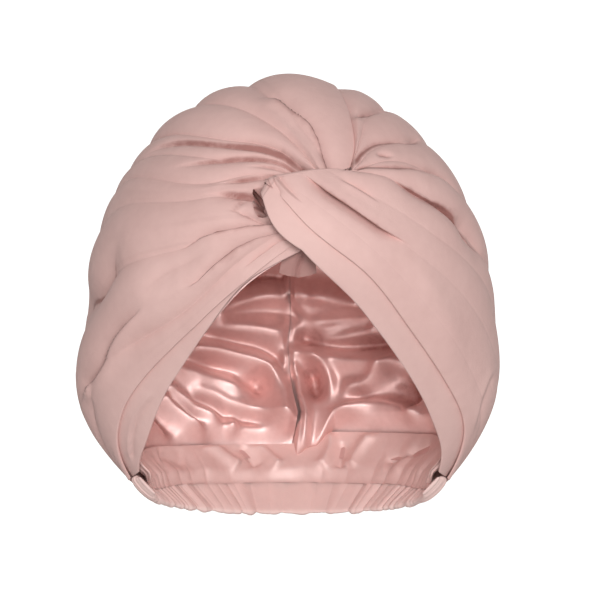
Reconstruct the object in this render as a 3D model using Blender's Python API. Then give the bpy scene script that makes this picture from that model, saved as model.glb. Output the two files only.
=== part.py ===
"""A satin-lined sleep bonnet with a twisted front, in metres, +Z up, face towards -Y.

The outer cloth is two wraps that fan out from a twist over the forehead. Each pleat runs from the
twist, round the head, to the elastic at the nape. The wraps lie on a rounded form, the shape that
the bonnet keeps when it is filled. A place on the form is a unit direction from its middle, and
left and right are as seen from the front. The origin is where the crown of a head touches.
"""

import math

import bmesh
import bpy
import numpy as np

# Driving dimensions
BONNET_WIDTH = 0.2520
BONNET_HEIGHT = 0.2660
BONNET_DEPTH = 0.2450
OUTER_CLOTH = 0.0016
BAND_CLOTH = 0.0020
LINING_CLOTH = 0.0012
TUCK_CLOTH = 0.0012
LAYER_GAP = 0.0006
CASING_HEIGHT = 0.0190
CASING_END_HEIGHT = 0.0080
CASING_THICKNESS = 0.0042
CASING_RIB = 0.0007
CASING_GATHERS = 43
FACING_HEIGHT = 0.0240
FACING_END_HEIGHT = 0.0110
TEMPLE_RISE = 0.0170
LINING_ROOM = 0.0100
TWIST_RISE = 0.0100
TWIST_SINK = 0.0090
TWIST_ROOM = 0.0170
CREASE_DEPTH = 0.0010
FOLD_DEPTH = 0.0010

# The form that the cloth lies on, worked out from the size over the pleats
PLEAT_STAND = 0.0030
HALF_WIDTH = BONNET_WIDTH / 2 - PLEAT_STAND
MIDDLE_HEIGHT = 0.435 * BONNET_HEIGHT
CROWN_RISE = BONNET_HEIGHT - PLEAT_STAND - MIDDLE_HEIGHT
SKIRT_DROP = 0.510 * BONNET_HEIGHT
FRONT_REACH = 0.485 * BONNET_DEPTH
BACK_REACH = 0.505 * BONNET_DEPTH
SKIRT_FULLNESS = 0.07
SKIRT_TOP = 0.10
SKIRT_SPAN = 0.50
CHEEK_TAPER = 0.42
CHEEK_TOP = 0.45
CHEEK_SPAN = 1.10
NAPE_BACK = 0.53 * BACK_REACH
TEMPLE_FORWARD = 0.15 * FRONT_REACH
CASING_TURN = 112

# How far from the twist the cloth is still raised, sunk or rolled in by it
TWIST_RISE_REACH = 0.61 * HALF_WIDTH
TWIST_SINK_REACH = 0.28 * HALF_WIDTH
TWIST_ROOM_REACH = 0.49 * HALF_WIDTH
ROLLED_EDGE_REACH = 0.025 * HALF_WIDTH
TUCKED_EDGE_REACH = 0.41 * HALF_WIDTH
BAND_START_REACH = 0.05 * HALF_WIDTH

# How each layer lies inside the form
BAND_LIFT = -OUTER_CLOTH - LAYER_GAP
LINING_LIFT = BAND_LIFT - BAND_CLOTH - 1.5 * LAYER_GAP
FACING_LIFT = LINING_LIFT - LINING_CLOTH - 1.5 * LAYER_GAP
SEAT_HEIGHT = MIDDLE_HEIGHT + CROWN_RISE + LINING_LIFT - LINING_ROOM - LINING_CLOTH

# How finely the faceted cloth is divided
COLUMNS_PER_PLEAT = 4
BAND_COLUMNS = 3
RAY_STATIONS = (0, 0.02, 0.045, 0.075, 0.11, 0.15, 0.2, 0.255, 0.315, 0.38, 0.45, 0.52,
                0.6, 0.68, 0.76, 0.84, 0.91, 0.965, 1)
RAY_SAMPLES = 160
LINING_TURNS = (0, 6, 14, 24, 36, 48, 60, 72, 84, 96, 108, 124, 142, 161, 180)
LINING_CROWN_ROWS = 5
LINING_WALL_ROWS = 26
LINING_WALL_TOP = 0.47
RIM_TURN = 109
RIM_SET_BACK = 0.35
FACING_ROWS = 3

# Each row is one pleat line. Its places are seen from the front, across and up, as shares of the
# form's half width and of its rise or drop. The side place is where the line passes out of sight,
# and nape_turn is where it ends on the elastic, in degrees from the middle of the nape.
# The four depths are those of the crease at the twist, the middle, the side and the nape, and
# fold is how far the cloth up to the next row stands out, all as shares of the crease depth.
COLUMNS = ("start_x", "start_z", "near_x", "near_z", "mid_x", "mid_z", "side_x", "side_z",
           "nape_turn", "at_twist", "at_mid", "at_side", "at_nape", "fold")
LEFT_PLEATS = {
    "band_line": (0.05, 0.34, -0.14, 0.22, -0.41, 0.02, -0.75, -0.38, -101, 0, 0, 0, 0, 0.6),
    "low_crease": (0.04, 0.38, -0.15, 0.30, -0.44, 0.09, -0.86, -0.22, -88, 1.2, 1.0, 2.8, 1, 3.2),
    "cheek_crease": (0.01, 0.42, -0.18, 0.37, -0.48, 0.31, -0.94, 0.14, -72, 1.8, 2.0, 3.4, 1, 2.0),
    "hollow_crease": (-0.01, 0.48, -0.18, 0.52, -0.46, 0.49, -0.87, 0.44, -58, 4.5, 0.6, 1.6, 1, 1.0),
    "over_crease": (0.06, 0.54, -0.12, 0.60, -0.36, 0.56, -0.80, 0.57, -47, 1.8, 2.0, 1.0, 1, 1.0),
    "brow_crease": (0.12, 0.57, -0.01, 0.66, -0.30, 0.66, -0.73, 0.66, -38, 1.6, 2.4, 1.4, 1, 1.0),
    "long_crease": (0.14, 0.58, -0.03, 0.69, -0.32, 0.74, -0.65, 0.75, -29, 1.4, 3.2, 3.6, 1, 3.0),
    "crown_crease": (0.16, 0.58, 0.05, 0.70, -0.14, 0.82, -0.40, 0.89, -19, 1.0, 0.6, 3.0, 1, 2.4),
    "lobe_crease": (0.18, 0.58, 0.11, 0.70, 0.02, 0.80, -0.12, 0.93, -9, 1.4, 3.6, 3.2, 1, 3.6),
    "top_edge": (0.295, 0.63, 0.31, 0.69, 0.29, 0.83, 0.24, 0.94, 0, 0, 0, 0, 0, 0),
}
RIGHT_PLEATS = {
    "band_line": (-0.10, 0.53, 0.08, 0.37, 0.38, 0.18, 0.71, -0.24, 101, 0, 0, 0, 0, 0.8),
    "loop_ridge": (-0.08, 0.55, 0.18, 0.41, 0.47, 0.22, 0.84, -0.22, 89, 0.4, 0.3, 0.6, 1, 0.8),
    "loop_crease": (0.02, 0.57, 0.22, 0.46, 0.52, 0.31, 0.94, -0.04, 76, 1.4, 3.0, 0.6, 1, 1.0),
    "face_ridge": (0.13, 0.585, 0.35, 0.49, 0.64, 0.36, 0.96, 0.13, 62, 0.4, 0.4, 0.6, 1, 1.2),
    "main_crease": (0.23, 0.585, 0.44, 0.56, 0.69, 0.48, 0.93, 0.30, 50, 1.0, 3.2, 4.2, 1, 1.8),
    "side_crease": (0.27, 0.58, 0.44, 0.63, 0.65, 0.61, 0.82, 0.53, 38, 1.2, 1.6, 3.4, 1, 0.8),
    "brow_crease": (0.28, 0.58, 0.37, 0.67, 0.49, 0.72, 0.64, 0.74, 25, 1.0, 1.4, 4.4, 1, 0.6),
    "crown_crease": (0.285, 0.575, 0.33, 0.70, 0.37, 0.82, 0.45, 0.88, 12, 0.8, 1.4, 4.4, 1, 1.4),
    "top_edge": (0.29, 0.57, 0.31, 0.68, 0.29, 0.83, 0.24, 0.94, 0, 0, 0, 0, 0, 0),
}
# The free edge of each band, which frames the face, in the same places as a pleat line
LEFT_FREE_EDGE = (0.06, 0.31, -0.22, 0.16, -0.52, -0.22, -0.66, -0.53, -112)
RIGHT_FREE_EDGE = (-0.12, 0.50, 0.04, 0.31, 0.36, 0.05, 0.66, -0.43, 112)

# Each row is one soft fold of the lining on the wall behind the head: its height where it leaves
# the middle seam, how far it rises towards the side, its half width, and how far out it fades,
# as shares of the form, then how far it stands into the head's space, in fold depths.
FOLD_COLUMNS = ("height", "rise", "half_width", "fade", "stand")
LEFT_FOLDS = {
    "top_fold": (0.17, 0.02, 0.090, 0.60, 5.0),
    "upper_fold": (-0.01, 0.06, 0.100, 0.75, 5.5),
    "great_fold": (-0.22, 0.14, 0.120, 0.85, 8.0),
    "low_fold": (-0.44, 0.14, 0.100, 0.85, 6.0),
}
RIGHT_FOLDS = {
    "top_fold": (0.19, -0.02, 0.095, 0.65, 6.0),
    "upper_fold": (-0.01, -0.03, 0.085, 0.80, 4.5),
    "curl_fold": (-0.20, 0.00, 0.100, 0.65, 7.5),
    "low_fold": (-0.43, 0.14, 0.095, 0.80, 6.5),
}
SEAM_PINCH_REACH = 0.12
# The small end of cloth tucked up behind the meeting of the two bands, across and up
TUCK_TOP = (0.05, 0.33)
TUCK_BOTTOM = (0.02, 0.20)
TUCK_TOP_HALF_WIDTH = 0.08
TUCK_BOTTOM_HALF_WIDTH = 0.16
TUCK_RISE = 0.0014


def smooth(share):
    """0 below 0, 1 above 1 and a soft step between them."""
    share = np.clip(share, 0, 1)
    return share * share * (3 - 2 * share)


def unit(vectors):
    return vectors / np.linalg.norm(vectors, axis=-1, keepdims=True)


def reaches(directions):
    """How far the form reaches along each axis in these directions."""
    y, z = directions[..., 1], directions[..., 2]
    skirt = 1 + SKIRT_FULLNESS * smooth((SKIRT_TOP - z) / SKIRT_SPAN)
    cheek = 1 - CHEEK_TAPER * smooth((CHEEK_TOP - z) / CHEEK_SPAN)
    forward = np.where(y < 0, FRONT_REACH * cheek, BACK_REACH)
    upward = np.where(z > 0, CROWN_RISE, SKIRT_DROP)
    return np.stack([HALF_WIDTH * skirt, forward, upward], axis=-1)


def on_form(directions, lift=0.0):
    """Points of the form, raised by lift along its normals."""
    reach = reaches(directions)
    points = directions * reach
    points[..., 2] += MIDDLE_HEIGHT
    return points + unit(directions / reach) * np.asarray(lift)[..., None]


def front_direction(across, up):
    """The direction seen at that place from the front. A place past the outline goes on the outline."""
    length = math.hypot(across, up)
    if length >= 1:
        across, up = across / length, up / length
    return np.array([across, -math.sqrt(max(0.0, 1 - across**2 - up**2)), up])


def casing_base(y):
    """Height of the elastic casing's lower edge, which rises from the nape to the temples."""
    share = np.clip((NAPE_BACK - y) / (NAPE_BACK + TEMPLE_FORWARD), 0, 1.4)
    return TEMPLE_RISE * share**1.2


def casing_top(y):
    """Height of the casing's upper edge, where the cloth above it ends."""
    towards_end = smooth((NAPE_BACK - y) / NAPE_BACK)
    return casing_base(y) + CASING_HEIGHT + (CASING_END_HEIGHT - CASING_HEIGHT) * towards_end


def above_casing(y):
    return casing_top(y) + LAYER_GAP


def facing_height(y):
    towards_end = smooth((NAPE_BACK - y) / (NAPE_BACK + TEMPLE_FORWARD))
    return FACING_HEIGHT + (FACING_END_HEIGHT - FACING_HEIGHT) * towards_end


def nape_direction(turn, height_at):
    """The direction, turned from the middle of the nape, in which the form has the height wanted."""
    angle = math.radians(turn)
    low, high = -89.0, 20.0
    for _ in range(30):
        middle = (low + high) / 2
        slope = math.radians(middle)
        direction = np.array([math.sin(angle) * math.cos(slope),
                              math.cos(angle) * math.cos(slope), math.sin(slope)])
        point = on_form(direction)
        low, high = (middle, high) if point[2] < height_at(point[1]) else (low, middle)
    return direction


def smooth_curve(knots, values, at):
    """A smooth curve through values at the knots, read at these places."""
    values = np.asarray(values, float)
    slopes = np.gradient(values, knots, axis=0)
    index = np.clip(np.searchsorted(knots, at, side="right") - 1, 0, len(knots) - 2)
    span = (knots[index + 1] - knots[index])[:, None]
    t = (at - knots[index])[:, None] / span
    start, end = values[index], values[index + 1]
    leave, arrive = slopes[index] * span, slopes[index + 1] * span
    return ((1 + 2 * t) * (1 - t) ** 2 * start + t * (1 - t) ** 2 * leave
            + t * t * (3 - 2 * t) * end + t * t * (t - 1) * arrive)


def ray(row):
    """One pleat line from the twist to the nape, as directions and distances in metres."""
    start, near, middle, side = (front_direction(row[i], row[i + 1]) for i in (0, 2, 4, 6))
    end = nape_direction(row[8], above_casing)
    bend = 0.5 * (1 - side @ end)
    behind = unit(side + end + np.array([0, 1.6 * bend, 0.1 * bend]))
    places = np.array([start, near, middle, side, behind, end])
    steps = np.linalg.norm(np.diff(places, axis=0), axis=1)
    knots = np.concatenate([[0], np.cumsum(steps)])
    line = unit(smooth_curve(knots, places, np.linspace(0, knots[-1], RAY_SAMPLES)))
    lengths = np.linalg.norm(np.diff(on_form(line), axis=0), axis=1)
    return line, np.concatenate([[0], np.cumsum(lengths)])


def at_stations(row):
    """Directions at the stations along a pleat line, and their distances in metres."""
    line, along = ray(row)
    wanted = np.array(RAY_STATIONS) * along[-1]
    found = np.stack([np.interp(wanted, along, line[:, axis]) for axis in range(3)], axis=-1)
    return unit(found), wanted


def shift_towards(directions, others, distance):
    """Directions moved over the form towards others by a distance in metres."""
    apart = np.linalg.norm(on_form(others) - on_form(directions), axis=-1)[..., None]
    return unit(directions + (others - directions) * distance / np.maximum(apart, distance))


def crease_depth(row, stations):
    """Depth of a crease along its length, from its four depths."""
    return np.interp(stations, (0, 0.12, 0.45, 0.7, 0.95, 1),
                     (row[9], row[10], row[11], 0.6 * row[11], row[12], 0.2 * row[12]))


def pleat_height(rows, pleat, share):
    """How far the cloth stands off the form across a pleat: pinched at its creases, full between."""
    stations = np.array(RAY_STATIONS)
    before, after = rows[pleat], rows[pleat + 1]
    swell = np.interp(stations, (0, 0.12, 0.5, 0.85, 1), (0.4, 0.8, 1.0, 0.9, 0.1))
    fold = before[13] * math.sin(math.pi * share) * swell
    pinch = 0.17
    return CREASE_DEPTH * (fold - crease_depth(before, stations) * math.exp(-share / pinch)
                           - crease_depth(after, stations) * math.exp(-(1 - share) / pinch))


def twist_lift(side, across, distance):
    """How the two wraps pass at the twist: the right one rides over, the left one dips beneath."""
    towards_top = across**2
    sink = -TWIST_SINK * (1 - 0.6 * towards_top) * np.exp(-distance / TWIST_SINK_REACH)
    if side == "left":
        return sink
    over = TWIST_RISE * np.exp(-((distance / TWIST_RISE_REACH) ** 2))
    roll = 0.85 * TWIST_RISE * np.exp(-distance / ROLLED_EDGE_REACH)
    near_twist = np.exp(-distance / TUCKED_EDGE_REACH)
    below_edge = OUTER_CLOTH + 1.5 * LAYER_GAP + 1.5 * OUTER_CLOTH * near_twist
    beneath = below_edge * smooth((across - 0.94) / 0.06)
    return (over - roll) * (1 - towards_top) + sink * towards_top - beneath


def wrap_surface(side, pleats):
    """Outer face of a wrap as directions and lifts, a column for each line along the cloth."""
    rows = np.array(list(pleats.values()), float)
    count = len(rows) - 1
    at = np.arange(count * COLUMNS_PER_PLEAT + 1) / COLUMNS_PER_PLEAT
    directions, lifts = [], []
    for place, row in zip(at, smooth_curve(np.arange(count + 1.0), rows, at)):
        pleat = min(int(place), count - 1)
        line, distance = at_stations(row)
        directions.append(line)
        lifts.append(pleat_height(rows, pleat, place - pleat)
                     + twist_lift(side, place / count, distance))
    return np.array(directions), np.array(lifts)


def make_wrap(side, pleats, **where):
    directions, lifts = wrap_surface(side, pleats)
    if side == "left":
        directions[-1] = shift_towards(directions[-1], directions[-2], OUTER_CLOTH)
    else:
        past_edge = 2 * directions[-1] - directions[-2]
        tucked = shift_towards(directions[-1], past_edge, 2 * OUTER_CLOTH)
        directions = np.concatenate([directions, [tucked]])
        lifts = np.concatenate([lifts, lifts[-1:]])
    outer = on_form(directions, lifts)
    inner = on_form(directions, lifts - OUTER_CLOTH)
    return cloth_shell(f"{side}_wrap", outer, inner, **where)


def make_edge_band(side, pleats, free_edge, **where):
    """The folded band that frames the face, set in under the edge of its wrap."""
    line, distance = at_stations(np.array(list(pleats.values())[0], float))
    edge, _ = at_stations(np.array(free_edge, float))
    under = 2 * OUTER_CLOTH
    outermost = shift_towards(line, 2 * line - edge, under)
    shares = np.linspace(0, 1, BAND_COLUMNS + 1)[:, None, None]
    directions = unit(outermost + (edge - outermost) * shares)
    lifts = twist_lift(side, 0, distance) + BAND_LIFT - 0.2 * OUTER_CLOTH * shares[..., 0] ** 3
    lifts = lifts - 2 * LAYER_GAP * np.exp(-distance / BAND_START_REACH)
    outer = on_form(directions, lifts)
    inner = on_form(directions, lifts - BAND_CLOTH)
    return cloth_shell(f"{side}_edge_band", outer, inner, **where)


def rim_slopes(sign, pleats, free_edge, turns):
    """The slope to the lining's rim at each turn from the back. At the front it is under the band."""
    band_line = np.array(list(pleats.values())[0][:9])
    line, _ = ray(np.array(free_edge) + RIM_SET_BACK * (band_line - free_edge))
    azimuth = np.degrees(np.arctan2(sign * line[:, 0], line[:, 1]))
    slope = np.degrees(np.arcsin(line[:, 2]))
    front = azimuth > RIM_TURN
    order = np.argsort(azimuth[front])
    slopes = np.interp(turns, azimuth[front][order], slope[front][order])
    for index in np.flatnonzero(turns < RIM_TURN):
        ending = nape_direction(sign * turns[index], above_casing)
        slopes[index] = math.degrees(math.asin(ending[2]))
    return slopes


def lining_fold(directions, folds):
    """How far the folds of the lining stand in from the form."""
    across, back, up = np.abs(directions[..., 0]), directions[..., 1], directions[..., 2]
    stand = np.zeros_like(up)
    for height, rise, half_width, fade, depth in folds.values():
        away = np.clip((up - height - rise * across) / half_width, -1, 1)
        reach = 1 - smooth((across - 0.5 * fade) / (0.5 * fade))
        stand += depth * np.cos(math.pi / 2 * away) ** 2 * reach
    pinched = 0.3 + 0.7 * smooth(across / SEAM_PINCH_REACH)
    return FOLD_DEPTH * stand * pinched * smooth(back / 0.3)


def make_lining(side, pleats, free_edge, folds, **where):
    """Half of the lining, from the seam down the middle to the band and the nape."""
    sign = -1 if side == "left" else 1
    turns = np.array(LINING_TURNS)
    crown = np.linspace(0, LINING_WALL_TOP, LINING_CROWN_ROWS + 1)[:-1]
    down = np.concatenate([crown, np.linspace(LINING_WALL_TOP, 1, LINING_WALL_ROWS + 1)])
    slope = np.radians(90 + (rim_slopes(sign, pleats, free_edge, turns)[:, None] - 90) * down)
    turn = np.radians(turns)[:, None]
    directions = np.stack([sign * np.sin(turn) * np.cos(slope),
                           np.cos(turn) * np.cos(slope), np.sin(slope)], axis=-1)
    covered = np.where(turns < RIM_TURN, 0.09, 0.0)[:, None]
    settled = smooth((1 - down - covered) / 0.11)
    twist = on_form(front_direction(0.10, 0.50))
    from_twist = np.linalg.norm(on_form(directions) - twist, axis=-1)
    near_twist = np.exp(-(from_twist / TWIST_ROOM_REACH) ** 2)
    room = LINING_ROOM * settled * (1 - near_twist) + TWIST_ROOM * near_twist
    lifts = LINING_LIFT - room - lining_fold(directions, folds) * settled
    outer = on_form(directions, lifts)
    inner = on_form(directions, lifts - LINING_CLOTH)
    for face in (outer, inner):
        face[..., 0] += sign * LAYER_GAP / 2
    return cloth_shell(f"{side}_lining", outer, inner, **where)


def strip_directions(turns, heights):
    """Directions along the nape, a column for each turn and a row for each height wanted."""
    return np.array([[nape_direction(turn, height) for height in heights] for turn in turns])


def make_facing(**where):
    """The plain strip that covers the lining's lower edge above the elastic."""
    half = [turn for turn in LINING_TURNS if turn < RIM_TURN]
    turns = [-turn for turn in half[:0:-1]] + half
    shares = np.linspace(0, 1, FACING_ROWS + 1)
    heights = [lambda y, up=share: above_casing(y) + up * facing_height(y) for share in shares]
    directions = strip_directions(turns, heights)
    lifts = np.full(directions.shape[:2], FACING_LIFT)
    outer = on_form(directions, lifts)
    inner = on_form(directions, lifts - OUTER_CLOTH)
    return cloth_shell("nape_facing", outer, inner, **where)


def make_casing(**where):
    """The gathered channel that holds the elastic, ribbed on both faces."""
    turns = np.linspace(-CASING_TURN, CASING_TURN, 2 * CASING_GATHERS + 1)
    heights = [casing_base, lambda y: (casing_base(y) + casing_top(y)) / 2, casing_top]
    directions = strip_directions(turns, heights)
    ribs = CASING_RIB * np.where(np.arange(len(turns)) % 2, 1, -1)[:, None]
    middle = -CASING_THICKNESS / 2
    bulge = np.array([0.30, 0.50, 0.36]) * CASING_THICKNESS
    outer = on_form(directions, middle + bulge + ribs)
    inner = on_form(directions, middle - bulge - ribs)
    return cloth_shell("elastic_casing", outer, inner, **where)


def make_apex_tuck(**where):
    """The end of cloth seen behind the point where the two bands meet."""
    top, bottom = np.array(TUCK_TOP), np.array(TUCK_BOTTOM)
    half_top, half_bottom = TUCK_TOP_HALF_WIDTH, TUCK_BOTTOM_HALF_WIDTH
    downs = np.linspace(0, 1, 4)
    directions = np.array([[
        front_direction(*(top + (bottom - top) * down
                          + (side * (half_top + (half_bottom - half_top) * down), 0)))
        for down in downs] for side in np.linspace(-1, 1, 7)])
    lifts = LINING_LIFT - TWIST_SINK - TUCK_CLOTH + TUCK_RISE * downs
    lifts = np.tile(lifts, (len(directions), 1))
    outer = on_form(directions, lifts)
    inner = on_form(directions, lifts - TUCK_CLOTH)
    return cloth_shell("apex_tuck", outer, inner, **where)


def cloth_shell(name, outer, inner, material, collection, parent):
    """A closed wall of cloth between two grids of points, extruded from a flat grid."""
    columns, rows = outer.shape[:2]
    bm = bmesh.new()
    bmesh.ops.create_grid(bm, x_segments=columns - 1, y_segments=rows - 1, size=1)
    sheet = list(bm.verts)
    grown = bmesh.ops.extrude_face_region(bm, geom=list(bm.faces), use_keep_orig=True)
    copies = [part for part in grown["geom"] if isinstance(part, bmesh.types.BMVert)]
    for vertices, face in ((sheet, outer), (copies, inner)):
        for vertex in vertices:
            column = round((vertex.co.x + 1) / 2 * (columns - 1))
            row = round((vertex.co.y + 1) / 2 * (rows - 1))
            vertex.co = face[column, row]
    bmesh.ops.remove_doubles(bm, verts=list(bm.verts), dist=1e-6)
    bmesh.ops.recalc_face_normals(bm, faces=list(bm.faces))
    if bm.calc_volume(signed=True) < 0:
        bmesh.ops.reverse_faces(bm, faces=list(bm.faces))
    mesh = bpy.data.meshes.new(name)
    bm.to_mesh(mesh)
    bm.free()
    mesh.shade_smooth()
    mesh.materials.append(material)
    shell = bpy.data.objects.new(name, mesh)
    collection.objects.link(shell)
    shell.parent = parent
    return shell


def new_material(name, colour, roughness):
    material = bpy.data.materials.new(name)
    material.use_nodes = True
    surface = material.node_tree.nodes["Principled BSDF"]
    surface.inputs["Base Color"].default_value = (*colour, 1)
    surface.inputs["Roughness"].default_value = roughness
    surface.inputs["Metallic"].default_value = 0
    return material


def main():
    for old in list(bpy.data.objects):
        bpy.data.objects.remove(old)
    collection = bpy.data.collections.new("sleep_bonnet")
    bpy.context.scene.collection.children.link(collection)
    crown = bpy.data.objects.new("head_crown", None)
    crown.location.z = -SEAT_HEIGHT
    collection.objects.link(crown)

    cloth = new_material("outer_cloth", (0.72, 0.47, 0.43), 0.75)
    satin = new_material("satin_lining", (0.58, 0.25, 0.22), 0.30)
    elastic = new_material("gathered_casing", (0.70, 0.44, 0.40), 0.70)
    outside = {"material": cloth, "collection": collection, "parent": crown}
    inside = {"material": satin, "collection": collection, "parent": crown}
    gathered = {"material": elastic, "collection": collection, "parent": crown}

    make_wrap("left", LEFT_PLEATS, **outside)
    make_wrap("right", RIGHT_PLEATS, **outside)
    make_edge_band("left", LEFT_PLEATS, LEFT_FREE_EDGE, **outside)
    make_edge_band("right", RIGHT_PLEATS, RIGHT_FREE_EDGE, **outside)
    make_lining("left", LEFT_PLEATS, LEFT_FREE_EDGE, LEFT_FOLDS, **inside)
    make_lining("right", RIGHT_PLEATS, RIGHT_FREE_EDGE, RIGHT_FOLDS, **inside)
    make_facing(**inside)
    make_casing(**gathered)
    make_apex_tuck(**outside)


if __name__ == "__main__":
    main()
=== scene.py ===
# %% [markdown]
# # A sleep bonnet, dressed
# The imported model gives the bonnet's frame: nine bodies of cloth in their right places. This script
# makes each of them again as finely folded cloth, in the same frame and in metres, and gives each
# one a woven material. It ends with a pale floor, soft light and a camera in front.

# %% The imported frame
import math

import bpy
import numpy as np
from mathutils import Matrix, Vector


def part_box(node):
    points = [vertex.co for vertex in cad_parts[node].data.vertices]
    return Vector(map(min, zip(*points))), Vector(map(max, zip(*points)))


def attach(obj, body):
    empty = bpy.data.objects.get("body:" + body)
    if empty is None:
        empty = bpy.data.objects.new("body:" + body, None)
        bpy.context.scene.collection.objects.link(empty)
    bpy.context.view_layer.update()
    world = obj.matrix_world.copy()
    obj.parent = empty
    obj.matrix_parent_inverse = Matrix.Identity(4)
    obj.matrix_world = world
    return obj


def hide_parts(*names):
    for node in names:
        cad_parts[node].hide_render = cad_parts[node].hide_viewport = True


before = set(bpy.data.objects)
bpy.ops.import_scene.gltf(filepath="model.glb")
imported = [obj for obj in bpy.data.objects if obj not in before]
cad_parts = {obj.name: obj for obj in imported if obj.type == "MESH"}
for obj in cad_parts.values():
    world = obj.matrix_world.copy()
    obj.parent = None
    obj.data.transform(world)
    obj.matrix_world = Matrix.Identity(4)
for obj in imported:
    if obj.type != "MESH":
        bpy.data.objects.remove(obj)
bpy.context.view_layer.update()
print("nodes:", sorted(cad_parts))

# %% [markdown]
# ## Sizes
# These are the part's own sizes. The form is the rounded shape that the cloth keeps when a head
# fills it, and a place on it is a unit direction from its middle.

# %% Sizes of the part
BONNET_WIDTH = 0.2520
BONNET_HEIGHT = 0.2660
BONNET_DEPTH = 0.2450
OUTER_CLOTH = 0.0016
BAND_CLOTH = 0.0020
LINING_CLOTH = 0.0012
TUCK_CLOTH = 0.0012
LAYER_GAP = 0.0006
CASING_HEIGHT = 0.0190
CASING_END_HEIGHT = 0.0080
CASING_THICKNESS = 0.0042
FACING_HEIGHT = 0.0240
FACING_END_HEIGHT = 0.0110
TEMPLE_RISE = 0.0170
LINING_ROOM = 0.0100
TWIST_RISE = 0.0100
TWIST_SINK = 0.0090
TWIST_ROOM = 0.0170
MILLIMETRE = 0.001

PLEAT_STAND = 0.0030
SKIRT_SPREAD = 0.07
CHEEK_TAPER = 0.42
HALF_WIDTH = BONNET_WIDTH / 2 - PLEAT_STAND
MIDDLE_HEIGHT = 0.435 * BONNET_HEIGHT
CROWN_RISE = BONNET_HEIGHT - PLEAT_STAND - MIDDLE_HEIGHT
SKIRT_DROP = 0.510 * BONNET_HEIGHT
FRONT_REACH = 0.485 * BONNET_DEPTH
BACK_REACH = 0.505 * BONNET_DEPTH
NAPE_BACK = 0.53 * BACK_REACH
TEMPLE_FORWARD = 0.15 * FRONT_REACH
CASING_TURN = 112
RIM_TURN = 109

BAND_LIFT = -OUTER_CLOTH - LAYER_GAP
LINING_LIFT = BAND_LIFT - BAND_CLOTH - 1.5 * LAYER_GAP
FACING_LIFT = LINING_LIFT - LINING_CLOTH - 1.5 * LAYER_GAP
SATIN_LIFT = LINING_LIFT - LINING_CLOTH
SEAT_HEIGHT = MIDDLE_HEIGHT + CROWN_RISE + LINING_LIFT - LINING_ROOM - LINING_CLOTH
BASE = -SEAT_HEIGHT

# The camera stands in front, level with the middle of the bonnet. One pixel is this many metres
# across at the bonnet's middle.
CAMERA_PLACE = (0.0066, -1.8, 0.1302 + BASE)
PICTURE_MIDDLE = 300
PIXEL = 0.0006


# %% [markdown]
# ## The form
# Every cloth is a grid of directions with a lift, which `on_form` turns into points.

# %% The form
def smooth(share):
    """0 below 0, 1 above 1 and a soft step between them."""
    share = np.clip(share, 0, 1)
    return share * share * (3 - 2 * share)


def unit(vectors):
    return vectors / np.linalg.norm(vectors, axis=-1, keepdims=True)


def skirt_width(z):
    """The form's half width as a share of its plain one, as it is a little wider low down."""
    return 1 + SKIRT_SPREAD * smooth((0.10 - z) / 0.50)


def reaches(directions):
    """How far the form reaches along each axis in these directions."""
    y, z = directions[..., 1], directions[..., 2]
    cheek = 1 - CHEEK_TAPER * smooth((0.45 - z) / 1.10)
    forward = np.where(y < 0, FRONT_REACH * cheek, BACK_REACH)
    upward = np.where(z > 0, CROWN_RISE, SKIRT_DROP)
    return np.stack([HALF_WIDTH * skirt_width(z), forward, upward], axis=-1)


def outward(directions):
    """The form's normals."""
    return unit(directions / reaches(directions))


def on_form(directions, lift=0.0):
    """Points of the form, raised by lift along its normals."""
    points = directions * reaches(directions)
    points[..., 2] += MIDDLE_HEIGHT + BASE
    return points + outward(directions) * np.asarray(lift)[..., None]


def front_direction(across, up):
    """The direction seen at that place from the front. A place past the outline goes on the outline."""
    length = math.hypot(across, up)
    if length >= 1:
        across, up = across / length, up / length
    return np.array([across, -math.sqrt(max(0.0, 1 - across**2 - up**2)), up])


def casing_base(y):
    """Height of the elastic casing's lower edge, which rises from the nape to the temples."""
    share = np.clip((NAPE_BACK - y) / (NAPE_BACK + TEMPLE_FORWARD), 0, 1.4)
    return BASE + TEMPLE_RISE * share**1.2


def casing_top(y):
    towards_end = smooth((NAPE_BACK - y) / NAPE_BACK)
    return casing_base(y) + CASING_HEIGHT + (CASING_END_HEIGHT - CASING_HEIGHT) * towards_end


def above_casing(y):
    return casing_top(y) + LAYER_GAP


def facing_height(y):
    towards_end = smooth((NAPE_BACK - y) / (NAPE_BACK + TEMPLE_FORWARD))
    return FACING_HEIGHT + (FACING_END_HEIGHT - FACING_HEIGHT) * towards_end


def nape_direction(turn, height_at):
    """The direction, turned from the middle of the nape, in which the form has the height wanted."""
    angle = math.radians(turn)
    low, high = -89.0, 20.0
    for _ in range(24):
        middle = (low + high) / 2
        slope = math.radians(middle)
        direction = np.array([math.sin(angle) * math.cos(slope),
                              math.cos(angle) * math.cos(slope), math.sin(slope)])
        point = on_form(direction)
        low, high = (middle, high) if point[2] < height_at(point[1]) else (low, middle)
    return direction


def smooth_curve(knots, values, at):
    """A smooth curve through values at the knots, read at these places."""
    values = np.asarray(values, float)
    slopes = np.gradient(values, knots, axis=0)
    index = np.clip(np.searchsorted(knots, at, side="right") - 1, 0, len(knots) - 2)
    span = (knots[index + 1] - knots[index])[:, None]
    t = (at - knots[index])[:, None] / span
    start, end = values[index], values[index + 1]
    leave, arrive = slopes[index] * span, slopes[index + 1] * span
    return ((1 + 2 * t) * (1 - t) ** 2 * start + t * (1 - t) ** 2 * leave
            + t * t * (3 - 2 * t) * end + t * t * (t - 1) * arrive)


def through(places, count):
    """Directions spaced evenly along a smooth line through these ones."""
    steps = np.linalg.norm(np.diff(places, axis=0), axis=1)
    knots = np.concatenate([[0], np.cumsum(steps)])
    return unit(smooth_curve(knots, places, np.linspace(0, knots[-1], count)))


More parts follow.
